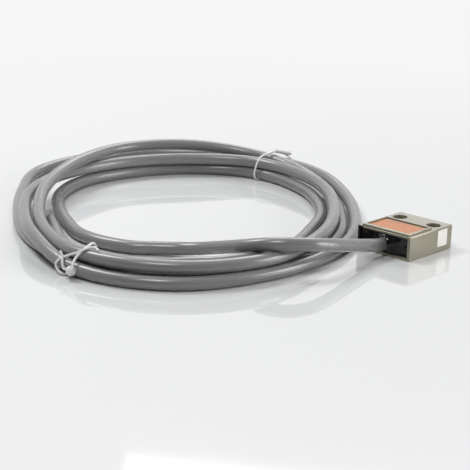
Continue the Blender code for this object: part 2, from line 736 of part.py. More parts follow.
def build_terminals(shop):
    """Common, normally open and normally closed strips with their fixed contacts."""
    build_strip(
        shop,
        "terminal_common",
        [
            (-TERMINAL_OFFSET + ANCHOR_LENGTH, ANCHOR_Y),
            (-TERMINAL_OFFSET, ANCHOR_Y),
            (-TERMINAL_OFFSET, TERMINAL_END),
        ],
    )
    near = CONTACT_OFFSET - CONTACT_DIAMETER / 2 - CLEARANCE
    far = CONTACT_OFFSET + CONTACT_DIAMETER / 2
    closed = build_strip(
        shop,
        "terminal_nc",
        [(near, NC_STRIP_Y), (TERMINAL_OFFSET, NC_STRIP_Y), (TERMINAL_OFFSET, TERMINAL_END)],
    )
    opened = build_strip(
        shop,
        "terminal_no",
        [(far, NO_STRIP_Y), (NO_TERMINAL_OFFSET, NO_STRIP_Y), (NO_TERMINAL_OFFSET, TERMINAL_END)],
    )
    for name, strip, strip_y, face, way in (
        ("fixed_contact_nc", closed, NC_STRIP_Y, NC_CONTACT_FACE, 1),
        ("fixed_contact_no", opened, NO_STRIP_Y, NO_CONTACT_FACE, -1),
    ):
        radius = CONTACT_SHANK_DIAMETER / 2
        place = (CONTACT_OFFSET, strip_y - STRIP_THICKNESS, AXIS_HEIGHT)
        form = cylinder_form(radius + CLEARANCE, 2 * STRIP_THICKNESS, FINE_STEPS)
        boolean(strip, shop.cutter(name + "_hole", form, shop.case, place, ALONG_Y))
        under = face + way * CONTACT_HEAD
        end = strip_y + way * (STRIP_THICKNESS / 2 - CLEARANCE / 3)
        head = CONTACT_DIAMETER / 2
        outline = [(0.0, face), (head, face), (head, under), (radius, under), (radius, end), (0.0, end)]
        if way > 0:
            outline.reverse()
        contact = turned(name, outline, shop.silver, steps=FINE_STEPS)
        adopt(contact, shop.parts, shop.axis, (CONTACT_OFFSET, 0, 0), ALONG_Y)


def build_potting(shop):
    """Resin that closes the pocket, with the cable's bore and room for the soldered ends."""
    half = POCKET_HALF_WIDTH - CLEARANCE
    form = box_form(
        (-half, POTTING_FACE, BACK_WALL + CLEARANCE), (half, POTTING_INNER_FACE, POCKET_TOP - CLEARANCE)
    )
    round_edges(form, edges_along(form, 1), POCKET_CORNER_RADIUS, 4)
    potting = adopt(mesh_object("potting_compound", form, shop.resin), shop.parts, shop.case)
    room = TERMINAL_OFFSET + STRIP_THICKNESS / 2 + 2 * CLEARANCE
    form = box_form(
        (-room, POTTING_POCKET_END, AXIS_HEIGHT - POTTING_POCKET_HEIGHT / 2),
        (room, POTTING_INNER_FACE + POTTING_DEPTH, AXIS_HEIGHT + POTTING_POCKET_HEIGHT / 2),
    )
    boolean(potting, shop.cutter("solder_room", form))
    length = POTTING_COVER + POTTING_RECESS + CLEARANCE
    form = cylinder_form(CABLE_DIAMETER / 2 + CLEARANCE, length)
    place = (0, CABLE_END, CABLE_HEIGHT)
    boolean(potting, shop.cutter("cable_bore", form, shop.case, place, ALONG_Y))


def build_conductors(shop):
    """Insulated wires from the stripped cable end to the three terminals."""
    start = CABLE_STRIPPED_END + CLEARANCE
    end = TERMINAL_END - CLEARANCE
    ends = (
        ("conductor_common", -CONDUCTOR_PITCH, -TERMINAL_OFFSET),
        ("conductor_no", 0.0, NO_TERMINAL_OFFSET),
        ("conductor_nc", CONDUCTOR_PITCH, TERMINAL_OFFSET),
    )
    for name, inner, outer in ends:
        route = s_bend(Vector((inner, start, CABLE_HEIGHT)), Vector((outer, end, AXIS_HEIGHT)))
        made = wire(name, route, CONDUCTOR_DIAMETER / 2, shop.insulation)
        adopt(made, shop.parts, shop.case)


def s_bend(start, end):
    """Points of a bend that leaves its start and reaches its end along Y."""
    handle = Vector((0, CONDUCTOR_HANDLE * (end.y - start.y), 0))
    steps = 16
    points = []
    for index in range(steps + 1):
        t = index / steps
        u = 1 - t
        leave = 3 * u * u * t * (start + handle)
        arrive = 3 * u * t * t * (end - handle)
        points.append(u**3 * start + leave + arrive + t**3 * end)
    return points


def build_cable_lead(shop):
    """Cable from its stripped end in the resin to the side of the coil."""
    start = (0.0, CABLE_STRIPPED_END, CABLE_HEIGHT)
    points = smooth_route([start, *CABLE_ROUTE], 2)
    made = wire("cord_lead", points, CABLE_DIAMETER / 2, shop.sheath, resolution=4)
    adopt(made, shop.parts, shop.case)


def coil_section(bearing):
    """Inner reach, outer reach and top of the coil at a bearing in degrees."""
    count = len(COIL_STATIONS)
    step = 360 / count
    index = int(bearing // step) % count
    t = bearing % step / step
    stations = [COIL_STATIONS[(index + shift) % count] for shift in (-1, 0, 1, 2)]
    return [blend_span(*(station[column] for station in stations), t) for column in (1, 2, 3)]


def coil_place(bearing, reach, height):
    """World place at a bearing and reach from the coil's centre."""
    angle = math.radians(bearing) - COIL_TURNED
    return COIL_CENTRE + Vector((reach * math.cos(angle), -reach * math.sin(angle), height))


def rounded_section(inner, outer, bottom, top, radius, steps):
    """(reach, height) points of a rectangle with round corners."""
    corners = (
        (outer - radius, top - radius, 0),
        (inner + radius, top - radius, 90),
        (inner + radius, bottom + radius, 180),
        (outer - radius, bottom + radius, 270),
    )
    section = []
    for reach, height, turn in corners:
        for index in range(steps + 1):
            angle = math.radians(turn + 90 * index / steps)
            section.append((reach + radius * math.cos(angle), height + radius * math.sin(angle)))
    return section


def build_coil(shop):
    """The coiled cable as one closed ring, grooved where the ties bite into it."""
    stations = 72
    form = bmesh.new()
    rings = []
    for index in range(stations):
        bearing = 360 * index / stations
        inner, outer, top = coil_section(bearing)
        section = rounded_section(inner, outer, COIL_BOTTOM, top, CABLE_DIAMETER / 2, 3)
        rings.append([form.verts.new(coil_place(bearing, reach, height)) for reach, height in section])
    for ring, following in zip(rings, rings[1:] + rings[:1]):
        for first in range(len(ring)):
            second = (first + 1) % len(ring)
            form.faces.new((ring[first], ring[second], following[second], following[first]))
    coil = adopt(mesh_object("cord_coil", form, shop.sheath), shop.parts, shop.case)
    for name, bearing, inner in tie_places():
        form_wire = wire(name + "_groove", tie_path(bearing, inner), TIE_DIAMETER / 2 + CLEARANCE, closed=True)
        boolean(coil, shop.mesh_from(name + "_groove", form_wire))


def tie_places():
    """Name, bearing and inner reach of each tie."""
    rear_inner = coil_section(TIE_REAR_BEARING)[0] - CLEARANCE
    return (
        ("tie_front", TIE_FRONT_BEARING, TIE_FRONT_INNER),
        ("tie_rear", TIE_REAR_BEARING, rear_inner),
    )


def tie_path(bearing, inner):
    """Closed loop of the tie's centreline, half sunk in the coil's section."""
    outer, top = coil_section(bearing)[1:]
    bottom = TIE_BOTTOM + TIE_DIAMETER / 2
    section = rounded_section(inner, outer + CLEARANCE, bottom, top + CLEARANCE, CABLE_DIAMETER / 2, 5)
    return [coil_place(bearing, reach, height) for reach, height in section]


def build_ties(shop):
    """Covered wire ties, each one closed loop round the bundle."""
    for name, bearing, inner in tie_places():
        loop = wire(name, tie_path(bearing, inner), TIE_DIAMETER / 2, shop.tie, closed=True)
        adopt(loop, shop.parts, shop.case)


def main():
    clear_scene()
    shop = Workshop()
    build_housing(shop)
    build_nameplate(shop)
    build_label(shop)
    build_plunger_train(shop)
    build_switch_base(shop)
    build_switch_cover(shop)
    build_base_pins(shop)
    build_switch_button(shop)
    build_blade(shop)
    build_terminals(shop)
    build_potting(shop)
    build_conductors(shop)
    build_cable_lead(shop)
    build_coil(shop)
    build_ties(shop)


main()
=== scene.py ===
"""Looks of the pre-wired limit switch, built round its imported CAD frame.

The metal parts keep the frame's solids, or copies of them. The resin, the sticker and the wire ties
are built anew. The cable is one free cord: it leaves the resin, runs over the coil and winds four
times round it before its cut end.
"""

import logging
import math
from dataclasses import dataclass
from enum import Enum
from typing import Any, Sequence

import bmesh
import bpy
from bpy.types import ID, Material, Mesh, Node, NodeSocket, NodeTree, Object
from mathutils import Matrix, Vector


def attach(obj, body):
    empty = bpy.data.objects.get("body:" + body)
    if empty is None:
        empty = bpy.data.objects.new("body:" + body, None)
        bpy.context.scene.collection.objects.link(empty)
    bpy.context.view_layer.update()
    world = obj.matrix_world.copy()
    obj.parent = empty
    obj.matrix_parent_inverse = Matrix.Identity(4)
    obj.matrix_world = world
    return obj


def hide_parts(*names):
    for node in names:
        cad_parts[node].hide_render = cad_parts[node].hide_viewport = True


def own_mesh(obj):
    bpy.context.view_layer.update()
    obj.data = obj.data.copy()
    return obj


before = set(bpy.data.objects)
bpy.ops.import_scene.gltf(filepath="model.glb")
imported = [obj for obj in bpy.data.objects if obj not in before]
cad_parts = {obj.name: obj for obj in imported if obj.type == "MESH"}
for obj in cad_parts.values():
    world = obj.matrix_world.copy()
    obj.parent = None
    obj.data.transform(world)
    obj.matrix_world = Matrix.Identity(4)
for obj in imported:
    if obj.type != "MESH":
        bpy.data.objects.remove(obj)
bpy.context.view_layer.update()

LOG = logging.getLogger("microswitch")
MM = 0.001
DOUBLES = 1e-6
ROUTE_STEPS = 6
TIE_STEPS = 3
HELIX_STEPS = 10
GOLDEN_ANGLE = math.radians(137.5)

# Camera: found from the case's corners in the photograph
PHOTO_SIZE = 470
FOCAL_PIXELS = 1620.0


class Body(Enum):
    """Bodies of the frame that new pieces ride on."""

    CASE = "case"
    PLUNGER = "plunger"


class Slot(Enum):
    """Material slots of the record, one passed with each new piece."""

    RESIN = "black_resin"
    LABEL = "white_label"
    SHEATH = "cable_sheath"
    TIE = "tie_cover"
    INSULATION = "wire_insulation"
    METAL = "cast_metal"
    STEEL = "steel"
    STRAND = "brass"


class Knot(Enum):
    """How a wire tie is closed."""

    BALL = "rolled into a ball"
    TWIST = "twisted pair"


def linear(code: str) -> tuple[float, float, float, float]:
    """Turn an sRGB hex colour into linear values.

    Args:
        code: Colour as #rrggbb.

    Returns:
        Red, green, blue and an alpha of 1.
    """
    channels = [int(code[i : i + 2], 16) / 255 for i in (1, 3, 5)]
    red, green, blue = (c / 12.92 if c <= 0.04045 else ((c + 0.055) / 1.055) ** 2.4 for c in channels)
    return red, green, blue, 1.0


def add(tree: NodeTree, kind: str, inputs: dict | None = None, **settings: Any) -> Node:
    """Add a node with its settings, values and links.

    Args:
        tree: Tree that gets the node.
        kind: Blender's name of the node's type.
        inputs: Values or output sockets by the name or number of the input.
        settings: Values of the node's own settings.

    Returns:
        The new node.
    """
    made = tree.nodes.new(kind)
    for name, value in settings.items():
        setattr(made, name, value)
    for key, value in (inputs or {}).items():
        if isinstance(value, NodeSocket):
            tree.links.new(value, made.inputs[key])
        else:
            made.inputs[key].default_value = value
    return made


def put(name: str, data: ID) -> Object:
    """Add an object to the scene, at the origin.

    Args:
        name: Name of the object.
        data: Its mesh, curve, light or camera.

    Returns:
        The object.
    """
    made = bpy.data.objects.new(name, data)
    bpy.context.scene.collection.objects.link(made)
    return made


def piece_tree(name: str, **kinds: str) -> tuple[NodeTree, dict[str, str]]:
    """Start a Geometry Nodes tree that makes a piece.

    Args:
        name: Name of the tree.
        kinds: Type of each input's socket, by the input's name.

    Returns:
        The tree, and the identifier of each input by its name.
    """
    tree = bpy.data.node_groups.new(name, "GeometryNodeTree")
    face = tree.interface
    face.new_socket("Piece", in_out="OUTPUT", socket_type="NodeSocketGeometry")
    ids = {key: face.new_socket(key, in_out="INPUT", socket_type=kind).identifier for key, kind in kinds.items()}
    return tree, ids


def per_metre(size_mm: float) -> float:
    """Texture scale whose features are about size_mm wide."""
    return 1000.0 / size_mm


def smooth_route(points: Sequence[Sequence[float]], per_span: int) -> list[Vector]:
    """Run a smooth curve through each given point.

    Args:
        points: Two or more points of any number of values.
        per_span: Steps between two points.

    Returns:
        Points of the curve, first and last included.
    """
    route = [Vector(p) for p in points]
    padded = [2 * route[0] - route[1], *route, 2 * route[-1] - route[-2]]
    smooth = []
    for before, start, end, after in zip(padded, padded[1:], padded[2:], padded[3:]):
        for step in range(per_span):
            t = step / per_span
            slope = (end - before) * t
            curve = (2 * before - 5 * start + 4 * end - after) * t * t
            smooth.append(0.5 * (2 * start + slope + curve + (3 * start - before - 3 * end + after) * t * t * t))
    smooth.append(route[-1])
    return smooth


def bands(loops: Sequence[range]) -> list[tuple[int, ...]]:
    """Join closed loops of points, each to the next, with four-sided faces.

    Args:
        loops: Numbers of each loop's points.

    Returns:
        Corners of each face.
    """
    faces = []
    for near, far in zip(loops, loops[1:]):
        faces += [(near[i - 1], near[i], far[i], far[i - 1]) for i in range(len(near))]
    return faces


@dataclass(frozen=True)
class Finish:
    """A material: what it is, its colour and its pattern.

    Attributes:
        name: Real material and how its surface was made.
        colour: Main sRGB colour.
        tint: Second sRGB colour of the pattern.
        roughness: Middle roughness.
        spread: How far roughness varies to each side.
        metallic: 1 for bare metal.
        grain_mm: Size of the fine grain.
        blotch_mm: Size of the slow change of colour.
        bump: Strength of the grain's relief.
        depth_mm: Height of the grain's relief.
        specular: Specular level of the shader.
        coat: Weight of a clear coat.
        mark: sRGB colour of a mark on the finish, empty for none.
    """

    name: str
    colour: str
    tint: str
    roughness: float
    spread: float = 0.05
    metallic: float = 0.0
    grain_mm: float = 0.3
    blotch_mm: float = 6.0
    bump: float = 0.3
    depth_mm: float = 0.02
    specular: float = 0.5
    coat: float = 0.0
    mark: str = ""

    def material(self) -> Material:
        """Make the Blender material.

        Returns:
            The material with its colour, roughness and relief.
        """
        made = bpy.data.materials.new(self.name)
        made.use_nodes = True
        tree = made.node_tree
        tree.nodes.clear()
        place = self.place(tree)
        grain = self.grain(tree, place)
        low, high = self.roughness - self.spread, self.roughness + self.spread
        rough = add(tree, "ShaderNodeMapRange", {0: grain, 1: 0.3, 2: 0.7, 3: low, 4: high})
        heights = {"Strength": self.bump, "Distance": self.depth_mm * MM, "Height": grain}
        relief = add(tree, "ShaderNodeBump", heights)
        shader = add(tree, "ShaderNodeBsdfPrincipled", {
            "Base Color": self.hue(tree, place), "Metallic": self.metallic, "Roughness": rough.outputs[0],
            "Specular IOR Level": self.specular, "Coat Weight": self.coat, "Coat Roughness": 0.1,
            "Normal": relief.outputs[0],
        })
        add(tree, "ShaderNodeOutputMaterial", {0: shader.outputs[0]})
        return made

    def place(self, tree: NodeTree) -> NodeSocket:
        """Place that the pattern reads, in metres."""
        return add(tree, "ShaderNodeTexCoord").outputs["Object"]

    def hue(self, tree: NodeTree, place: NodeSocket) -> NodeSocket:
        """Colour that changes slowly between the two colours, with the mark over it.

        Args:
            tree: Tree of the material.
            place: Place that the pattern reads.

        Returns:
            The colour's socket.
        """
        noise = {"Vector": place, "Scale": per_metre(self.blotch_mm), "Detail": 4.0}
        cloud = add(tree, "ShaderNodeTexNoise", noise).outputs[0]
        layers = [(add(tree, "ShaderNodeMapRange", {0: cloud, 1: 0.35, 2: 0.65}).outputs[0], self.tint)]
        if self.mark:
            layers.append((self.mask(tree, place), self.mark))
        hue: Any = linear(self.colour)
        for share, colour in layers:
            hue = add(tree, "ShaderNodeMix", {0: share, 6: hue, 7: linear(colour)}, data_type="RGBA").outputs[2]
        return hue

    def mask(self, tree: NodeTree, place: NodeSocket) -> NodeSocket:
        """Share of the mark's colour, for a finish that has one."""
        raise NotImplementedError(self.name)

    def grain(self, tree: NodeTree, place: NodeSocket) -> NodeSocket:
        """Fine grain from 0 to 1 that roughness and relief read."""
        noise = {"Vector": place, "Scale": per_metre(self.grain_mm), "Detail": 3.0, "Roughness": 0.6}
        return add(tree, "ShaderNodeTexNoise", noise).outputs[0]


@dataclass(frozen=True)
class StreakedFinish(Finish):
    """A finish whose grain is drawn out along one axis, as brushing or rolling leaves it.

    Attributes:
        stretch: Scale along each axis; a small value draws the grain out that way.
    """

    stretch: tuple[float, float, float] = (1.0, 0.05, 1.0)

    def grain(self, tree: NodeTree, place: NodeSocket) -> NodeSocket:
        """Grain drawn out along one axis."""
        drawn = add(tree, "ShaderNodeMapping", {"Vector": place, "Scale": self.stretch})
        return Finish.grain(self, tree, drawn.outputs[0])


@dataclass(frozen=True)
class PlateFinish(StreakedFinish):
    """Coppery plate: orange blotches, and a greyish streak towards its far edge.

    Attributes:
        streak: Where the streak starts and is full along Y, in metres, and its share at both.
    """

    mark: str = "#8f8a84"
    streak: tuple[float, ...] = (-0.0006, 0.0006, 0.0, 0.55)

    def mask(self, tree: NodeTree, place: NodeSocket) -> NodeSocket:
        """Share of the streak."""
        along = add(tree, "ShaderNodeSeparateXYZ", {0: place}).outputs[1]
        return add(tree, "ShaderNodeMapRange", dict(enumerate((along, *self.streak)))).outputs[0]


@dataclass(frozen=True)
class CastFinish(Finish):
    """Lacquered casting, with painted shade in near black inside its open end and over one side of the rim.

    Attributes:
        rim_shade_mm: Where the painted shade on the rim ends along X and Y.
        pocket_shade_mm: Half width of the shaded pocket, and its inner end along Y.
        pocket_shade_z_mm: Bottom and top of the shaded pocket.
        shade_soft_mm: Half width of the painted shade's edges.
    """

    # Near black: painted shade on the open end's inner walls and on the left part of its rim
    mark: str = "#161514"
    rim_shade_mm: tuple[float, float] = (-16.0, -21.2)
    pocket_shade_mm: tuple[float, float] = (17.85, -12.0)
    pocket_shade_z_mm: tuple[float, float] = (1.7, 13.95)
    shade_soft_mm: float = 0.15

    def mask(self, tree: NodeTree, place: NodeSocket) -> NodeSocket:
        """Make the painted shade in the pocket and on the rim.

        Args:
            tree: Tree of the material.
            place: Place that the pattern reads.

        Returns:
            The painted shade's share.
        """
        x, y, z = add(tree, "ShaderNodeSeparateXYZ", {0: place}).outputs
        reach = add(tree, "ShaderNodeMath", {0: x}, operation="ABSOLUTE").outputs[0]
        (width, inner), (low, high) = self.pocket_shade_mm, self.pocket_shade_z_mm
        # Each edge: a place, its limit, and the shares below and above the limit
        # pocket is painted shade on the open end's inner walls, rim is painted shade on the rim's left part
        pocket = ((reach, width, 1.0, 0.0), (z, low, 0.0, 1.0), (z, high, 1.0, 0.0), (y, inner, 1.0, 0.0))
        rim = ((x, self.rim_shade_mm[0], 1.0, 0.0), (y, self.rim_shade_mm[1], 1.0, 0.0))
        areas = []
        for edges in (pocket, rim):
            area: Any = 1.0
            for value, limit, below, above in edges:
                start, end = (limit - self.shade_soft_mm) * MM, (limit + self.shade_soft_mm) * MM
                side = add(tree, "ShaderNodeMapRange", {0: value, 1: start, 2: end, 3: below, 4: above})
                area = add(tree, "ShaderNodeMath", {0: area, 1: side.outputs[0]}, operation="MULTIPLY").outputs[0]
            areas.append(area)
        return add(tree, "ShaderNodeMath", dict(enumerate(areas)), operation="MAXIMUM").outputs[0]


@dataclass(frozen=True)
class SweptFinish(Finish):
    """A finish for cable and wire, whose grain runs along the swept route.

    Attributes:
        stretch: Scale along the route; a small value draws the grain out.
    """

    stretch: float = 0.04

    def place(self, tree: NodeTree) -> NodeSocket:
        """Place round and along the route, drawn out along it.

        Args:
            tree: Tree of the material.

        Returns:
            The place's socket.
        """
        around, along = (add(tree, "ShaderNodeAttribute", attribute_name=key).outputs for key in ("around", "along"))
        # The section is flat, so its third value is free for the length
        inputs = {0: along["Fac"], 1: (0.0, 0.0, self.stretch), 2: around["Vector"]}
        return add(tree, "ShaderNodeVectorMath", inputs, operation="MULTIPLY_ADD").outputs[0]


class Look(Enum):
    """Every finish of the switch.

    The values are, in order: name, two colours, roughness, its spread, metallic, grain and blotch in
    millimetres, bump, its depth in millimetres, specular level and coat.
    """

    # Die-cast zinc, blasted and lacquered: a warm grey satin with a very fine grain, and painted shade in its open
    # end
    CAST = CastFinish("lacquered_cast_zinc", "#8b8773", "#938f7d", 0.32, 0.04, 0.5, 0.35, 14.0, 0.22, 0.02, 0.5, 0.6)
    # Thin aluminium plate, anodised copper: orange blotches and a rolled grain
    COPPER = PlateFinish("copper_anodised_aluminium", "#b8733c", "#a86a46", 0.46, 0.06, 0.3, 0.25, 5.0, 0.2, 0.01)
    # Cast epoxy: black and glossy, with slow waves where it set
    RESIN = Finish("cast_black_epoxy", "#080808", "#0f0f0f", 0.11, 0.05, 0.0, 1.6, 4.0, 0.3, 0.12)
    # Coated label paper: flat white with a faint fibre
    PAPER = Finish("coated_label_paper", "#fffcf5", "#faf7f0", 0.55, 0.04, 0.0, 0.4, 3.0, 0.2, 0.02)
    # Extruded soft PVC: mid grey, satin, with fine lines along it from the die
    SHEATH = SweptFinish("extruded_grey_pvc", "#7c7c7c", "#848484", 0.26, 0.04, 0.0, 0.5, 2.5, 0.12, 0.01, 0.7)
    # Thin PVC over the tie's wire: bright white and slightly shiny
    TIE = SweptFinish("white_pvc_over_wire", "#efefec", "#dedfdc", 0.42, 0.06, 0.0, 0.4, 2.0, 0.3, 0.03)
    # Ground stainless steel: bright, with fine rings round the axis
    STEEL = StreakedFinish("ground_stainless_steel", "#c3c3c0", "#b4b4b2", 0.28, 0.08, 1.0, 0.12, 3.0, 0.2, 0.005,
                           stretch=(0.15, 1.0, 0.15))
    # Drawn brass: yellow, with the die's lines along it
    BRASS = StreakedFinish("drawn_brass", "#c3a468", "#ae9158", 0.32, 0.08, 1.0, 0.15, 2.0, 0.2, 0.005)
    # Rolled phosphor bronze: reddish and springy bright
    BRONZE = StreakedFinish("rolled_phosphor_bronze", "#c08f5c", "#a97a4c", 0.3, 0.06, 1.0, 0.12, 2.0, 0.2, 0.005,
                            stretch=(0.05, 1.0, 1.0))
    # Turned silver alloy: pale and slightly tarnished
    SILVER = Finish("turned_silver_alloy", "#d9d9d4", "#b9b6ab", 0.25, 0.08, 1.0, 0.1, 0.8, 0.2, 0.004)
    # Nitrile rubber: black and dull
    RUBBER = Finish("moulded_nitrile_rubber", "#1c1c1c", "#252524", 0.68, 0.08, 0.0, 0.15, 2.0, 0.3, 0.01)
    # Phenolic moulding: near black brown, with the mould's fine grain
    PHENOLIC = Finish("moulded_phenolic", "#2d2824", "#35302b", 0.5, 0.08, 0.0, 0.2, 3.0, 0.3, 0.01)
    # Moulded nylon button: red and satin
    NYLON = Finish("moulded_red_nylon", "#96281e", "#8a231a", 0.42, 0.06, 0.0, 0.2, 1.5, 0.25, 0.01)
    # PVC insulation of the cores: satin, with a plain moulded colour each
    RED = Finish("extruded_red_pvc", "#a3201e", "#b02824", 0.4, 0.06, 0.0, 0.2, 1.5, 0.2, 0.01)
    BLACK = Finish("extruded_black_pvc", "#161616", "#202020", 0.4, 0.06, 0.0, 0.2, 1.5, 0.2, 0.01)
    WHITE = Finish("extruded_white_pvc", "#e4e3de", "#d8d7d1", 0.4, 0.06, 0.0, 0.2, 1.5, 0.2, 0.01)
    # Bunched copper strands: bright where they were cut
    STRAND = Finish("cut_copper_strand", "#c98158", "#b4704a", 0.3, 0.08, 1.0, 0.1, 0.8, 0.2, 0.004)


NODE_LOOKS = {
    Look.CAST: "housing",
    Look.COPPER: "nameplate",
    Look.PAPER: "side_label",
    Look.RESIN: "potting_compound",
    Look.STEEL: "plunger_bushing plunger return_spring spring_washer overtravel_spring base_pin_left base_pin_right",
    Look.RUBBER: "plunger_seal",
    Look.BRASS: "pusher terminal_common terminal_no terminal_nc",
    Look.BRONZE: "moving_blade",
    Look.SILVER: "moving_contact fixed_contact_no fixed_contact_nc",
    Look.PHENOLIC: "switch_base switch_cover",
    Look.NYLON: "switch_button",
    Look.BLACK: "conductor_common",
    Look.WHITE: "conductor_no",
    Look.RED: "conductor_nc",
    Look.SHEATH: "cord_lead cord_coil",
    Look.TIE: "tie_front tie_rear",
}


class PieceMaker:
    """Turns built geometry into finished pieces that ride on the frame."""

    def __init__(self) -> None:
        """Make the materials, and the tree that sweeps a round section along a route."""
        self.looks = {look: look.value.material() for look in Look}
        self.tube = self._sweep_tree()

    def dress_frame(self) -> None:
        """Give every CAD node its finish."""
        for look, names in NODE_LOOKS.items():
            for name in names.split():
                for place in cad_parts[name].material_slots:
                    place.material = self.looks[look]
                LOG.info("node %s takes %s", name, look.value.name)

    def _sweep_tree(self) -> tuple[NodeTree, dict[str, str]]:
        """Build the sweep tree.

        Returns:
            The tree, and the identifier of each input by its name.
        """
        tree, ids = piece_tree("round_sweep", Route="NodeSocketGeometry", Radius="NodeSocketFloat",
                               Facets="NodeSocketInt", Finish="NodeSocketMaterial")
        start = add(tree, "NodeGroupInput").outputs
        # Store where each point is along the route and round the section, for the finish to read
        length = add(tree, "GeometryNodeSplineParameter").outputs["Length"]
        position = add(tree, "GeometryNodeInputPosition").outputs[0]
        circle = {"Resolution": start["Facets"], "Radius": start["Radius"]}
        ring = add(tree, "GeometryNodeCurvePrimitiveCircle", circle).outputs[0]
        curves = {"Fill Caps": True}
        for socket, shape, name, value, kind in (("Curve", start["Route"], "along", length, "FLOAT"),
                                                 ("Profile Curve", ring, "around", position, "FLOAT_VECTOR")):
            inputs = {"Geometry": shape, "Name": name, "Value": value}
            stored = add(tree, "GeometryNodeStoreNamedAttribute", inputs, data_type=kind, domain="POINT")
            curves[socket] = stored.outputs[0]
        tube = add(tree, "GeometryNodeCurveToMesh", curves)
        smooth = add(tree, "GeometryNodeSetShadeSmooth", {0: tube.outputs[0]})
        real = add(tree, "GeometryNodeRealizeInstances", {0: smooth.outputs[0]})
        dressed = add(tree, "GeometryNodeSetMaterial", {"Geometry": real.outputs[0], "Material": start["Finish"]})
        add(tree, "NodeGroupOutput", {0: dressed.outputs[0]})
        return tree, ids

    def sweep(self, name: str, points: Sequence[Vector], radius: float, facets: int, look: Look) -> Object:
        """Sweep a round section along a route.

        Args:
            name: Name of the piece.
            points: Route in metres.
            radius: Radius of the section.
            facets: Facets round the section.
            look: Finish of the piece.

        Returns:
            The piece as a plain mesh object at the origin.
        """
        curve = bpy.data.curves.new(name + "_route", "CURVE")
        curve.dimensions = "3D"
        spline = curve.splines.new("POLY")
        spline.points.add(len(points) - 1)
        for target, point in zip(spline.points, points):
            target.co = (*point, 1.0)
        values = {"Radius": radius, "Facets": facets, "Finish": self.looks[look]}
        return self.grown(name, put(name + "_route", curve), self.tube, values)

    def grown(self, name: str, carrier: Object, made: tuple[NodeTree, dict[str, str]], values: dict) -> Object:
        """Run a Geometry Nodes tree on an object.

        Args:
            name: Name of the piece.
            carrier: Object that carries the modifier, which is removed.
            made: The tree, and the identifier of each input by its name.
            values: Values of its inputs, by name.

        Returns:
            The piece as a plain mesh object.
        """
        nodes = carrier.modifiers.new("Nodes", "NODES")
        nodes.node_group, ids = made
        for key, value in values.items():
            nodes[ids[key]] = value
        return self.plain(name, carrier)

    def plain(self, name: str, carrier: Object) -> Object:
        """Turn an object with live modifiers into a plain mesh piece, and remove the object.

        Args:
            name: Name of the piece.
            carrier: Object that carries the modifiers.

        Returns:
            The plain mesh object.
        """
        bpy.context.view_layer.update()
        graph = bpy.context.evaluated_depsgraph_get()
        evaluated = carrier.evaluated_get(graph)
        mesh = bpy.data.meshes.new_from_object(evaluated, preserve_all_data_layers=True, depsgraph=graph)
        bpy.data.objects.remove(carrier, do_unlink=True)
        mesh.name = name
        return put(name, mesh)

    def shell(self, name: str, points: Sequence[Vector], faces: Sequence[Sequence[int]], look: Look) -> Object:
        """Make a smooth closed piece whose faces point outwards.

        Args:
            name: Name of the piece.
            points: Places in metres.
            faces: Corners of each face.
            look: Finish of the piece.

        Returns:
            The mesh object at the origin.
        """
        mesh = bpy.data.meshes.new(name)
        mesh.from_pydata(points, [], faces)
        mesh.materials.append(self.looks[look])
        mesh.shade_smooth()
        work = bmesh.new()
        work.from_mesh(mesh)
        bmesh.ops.recalc_face_normals(work, faces=work.faces)
        work.to_mesh(mesh)
        work.free()
        return put(name, mesh)

    def merged(self, node: str, look: Look, flat: float = 0.0) -> Mesh:
        """Copy a CAD node's mesh and merge its doubles.

        Args:
            node: Name of the CAD node.
            look: Finish of the copy.
            flat: Degrees below which two faces are joined, 0 for none.

        Returns:
            The copy.
        """
        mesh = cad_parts[node].data.copy()
        work = bmesh.new()
        work.from_mesh(mesh)
        bmesh.ops.remove_doubles(work, verts=work.verts, dist=DOUBLES)
        if flat:
            bmesh.ops.dissolve_limit(work, angle_limit=math.radians(flat), verts=work.verts, edges=work.edges)
        work.to_mesh(mesh)
        work.free()
        mesh.materials.clear()
        mesh.materials.append(self.looks[look])
        return mesh

    def settle(self, piece: Object, slot: Slot, *nodes: str, body: Body = Body.CASE) -> Object:
        """Let a piece ride on its body and stand for its nodes.

        Args:
            piece: Finished piece.
            slot: Slot of the record; not used.
            nodes: CAD nodes that it replaces.
            body: Body that it rides on.

        Returns:
            The same piece.
        """
        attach(piece, body.value)
        if nodes:
            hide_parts(*nodes)
        LOG.info("piece %s: %d faces", piece.name, len(piece.data.polygons))
        return piece


@dataclass
class PhotoCamera:
    """Camera at the photograph's place.

    Attributes:
        azimuth: Degrees round the switch, 0 looking along +Y.
        elevation: Degrees above the horizon.
        roll: Degrees that the picture leans.
        place: Position in metres.
    """

    azimuth: float = 41.56
    elevation: float = 16.43
    roll: float = 1.75
    place: tuple[float, ...] = (0.5572, -0.7860, 0.2875)

    def build(self) -> None:
        """Make the camera and let the scene use it."""
        a, e, r = (math.radians(v) for v in (self.azimuth, self.elevation, self.roll))
        turn = Matrix.Rotation(a, 4, "Z") @ Matrix.Rotation(math.pi / 2 - e, 4, "X") @ Matrix.Rotation(r, 4, "Z")
        lens = bpy.data.cameras.new("photo_camera")
        lens.lens = FOCAL_PIXELS / PHOTO_SIZE * lens.sensor_width
        camera = put("photo_camera", lens)
        camera.matrix_world = Matrix.Translation(self.place) @ turn
        bpy.context.scene.camera = camera


